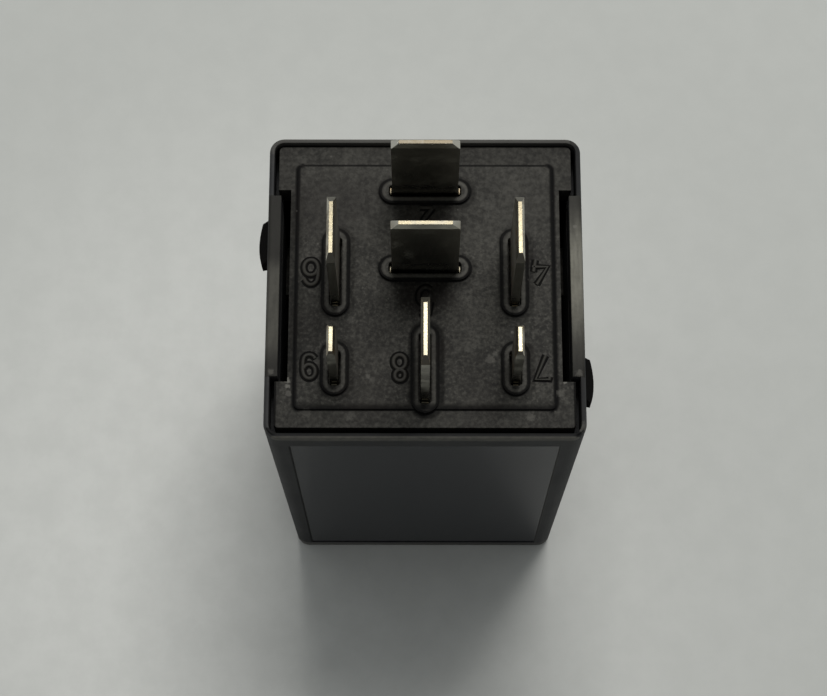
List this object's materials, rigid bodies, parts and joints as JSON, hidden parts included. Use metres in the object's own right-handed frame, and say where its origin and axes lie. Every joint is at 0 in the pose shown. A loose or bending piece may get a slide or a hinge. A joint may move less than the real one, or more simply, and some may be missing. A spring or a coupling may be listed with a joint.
{
  "type": "automotive relay",
  "caption": "Plug-in automotive relay: square moulded cover, flat base with upright blade terminals, electromagnet, hinged armature with a contact and a small circuit board inside.",
  "frame": {"origin": "centre of the cover's closed end, which the relay stands on", "axes": "+Z from the closed end to the blade terminals, -Y the printed side of the cover, +X to its right"},
  "size_m": [0.0328, 0.03, 0.0618],
  "materials": {
    "cover_plastic": "fine spark-eroded texture with a smoother field on the printed side",
    "base_plastic": "dull, slightly mottled by dust and scuffs",
    "tinned_brass": "dull tin plate, bright at the sheared edges",
    "board_laminate": "solder mask",
    "chip_epoxy": "dull",
    "capacitor_sleeve": "shrunk sleeve",
    "film_epoxy": "dipped",
    "resistor_lacquer": "lacquered",
    "diode_body": "moulded",
    "bobbin_plastic": "glass-filled",
    "copper_wire": "enamelled",
    "soft_iron": "zinc plated",
    "shunt_alloy": "rolled",
    "spring_bronze": "rolled",
    "contact_silver": "pressed",
    "spring_steel": "drawn"
  },
  "bodies": {
    "housing": {"cover": "cover_plastic", "base_plate": "base_plastic", "terminal_2": "tinned_brass", "terminal_4": "tinned_brass", "terminal_5": "tinned_brass", "terminal_6": "tinned_brass", "terminal_7": "tinned_brass", "terminal_8": "tinned_brass", "terminal_9": "tinned_brass", "circuit_board": "board_laminate", "control_chip": "chip_epoxy", "timing_capacitor": "capacitor_sleeve", "film_capacitor": "film_epoxy", "resistor_1": "resistor_lacquer", "resistor_2": "resistor_lacquer", "resistor_3": "resistor_lacquer", "diode": "diode_body", "driver_transistor": "chip_epoxy", "bobbin": "bobbin_plastic", "coil_winding": "copper_wire", "core": "soft_iron", "yoke": "soft_iron", "shunt_strip": "shunt_alloy", "coil_pin_left": "tinned_brass", "coil_pin_right": "tinned_brass", "fixed_contact": "contact_silver", "return_spring": "spring_steel"},
    "armature_set": {"armature": "soft_iron", "contact_spring": "spring_bronze", "spring_rivets": "soft_iron", "moving_contact": "contact_silver"}
  },
  "joints": [
    {"name": "armature_pivot", "type": "hinge", "parent": "housing", "child": "armature_set", "pos_m": [0, 0.00071, 0.0142], "axis": [-1, 0, 0], "range_deg": [0, 1.7], "stiffness_Nm_per_rad": 0.05, "springref_deg": -8.59}
  ]
}
